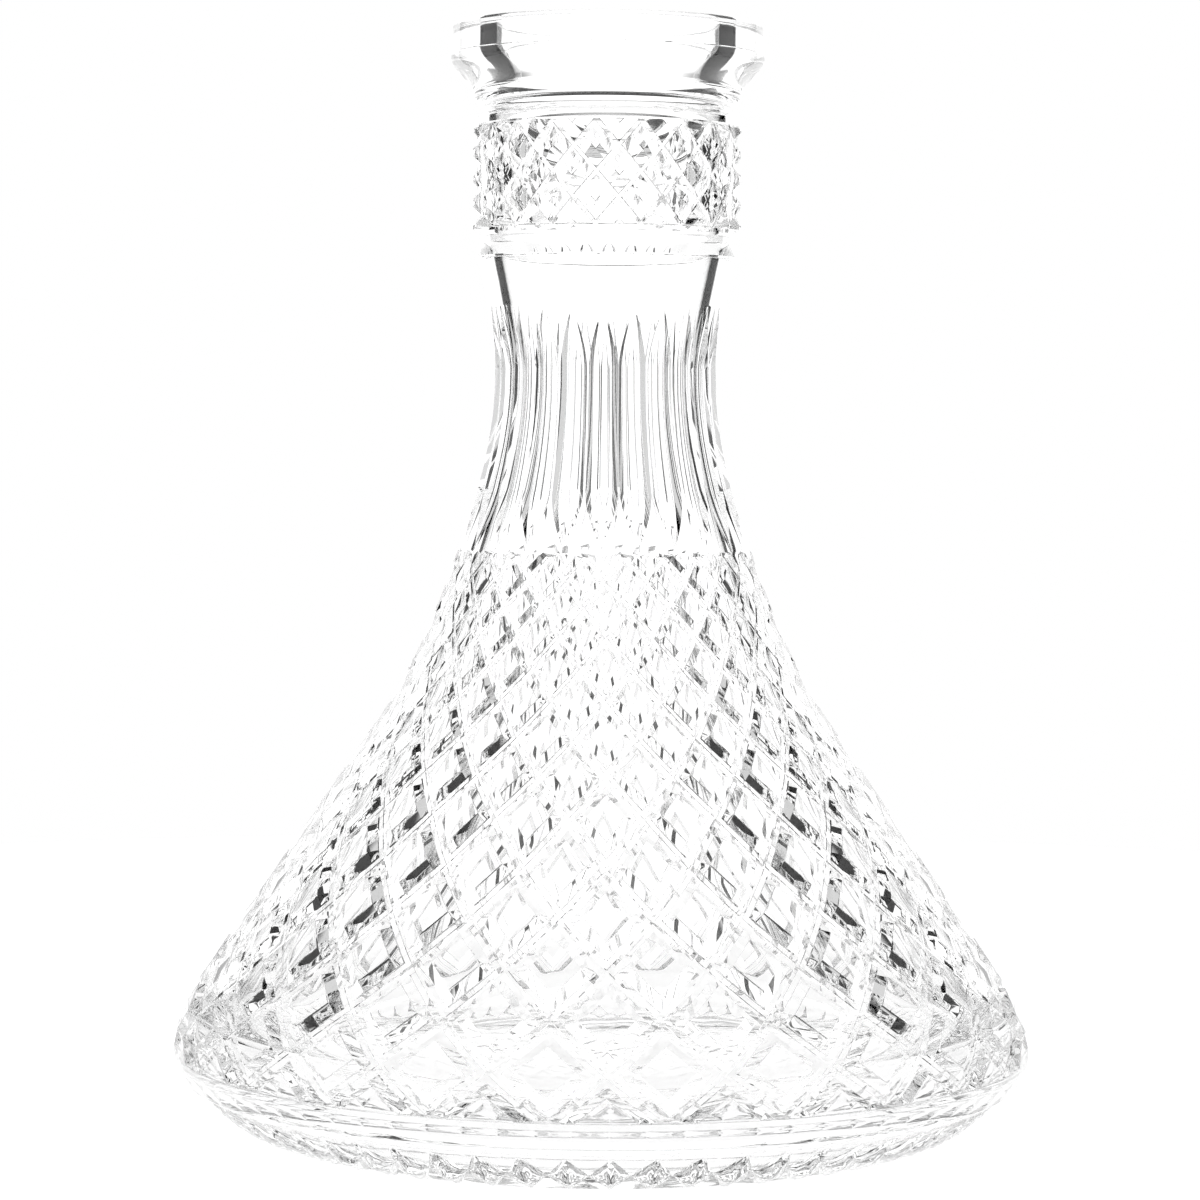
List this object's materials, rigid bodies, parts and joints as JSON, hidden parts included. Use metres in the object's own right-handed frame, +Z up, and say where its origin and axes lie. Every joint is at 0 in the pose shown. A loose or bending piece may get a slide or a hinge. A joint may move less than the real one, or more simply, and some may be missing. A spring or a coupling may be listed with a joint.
{
  "type": "cut crystal vessel",
  "caption": "Wide-mouthed cut crystal vessel with a conical diamond-cut body, fluted waisted neck, diamond-cut collar, flared rim and toothed foot.",
  "frame": {"origin": "centre of the resting face under the foot, on the vessel's axis", "axes": "+Z up along the axis towards the mouth; -Y is the front, and +X is to the right of the front"},
  "size_m": [0.2034, 0.2034, 0.26],
  "materials": {
    "crystal": "clear, cut and fire polished"
  },
  "bodies": {
    "root": {"mouth_rim": "crystal", "rim_bead": "crystal", "diamond_collar": "crystal", "collar_skirt": "crystal", "plain_neck": "crystal", "fluted_neck": "crystal", "upper_diamond_body": "crystal", "lower_diamond_body": "crystal", "girdle_band": "crystal", "toothed_foot": "crystal", "base_disc": "crystal"}
  },
  "joints": []
}
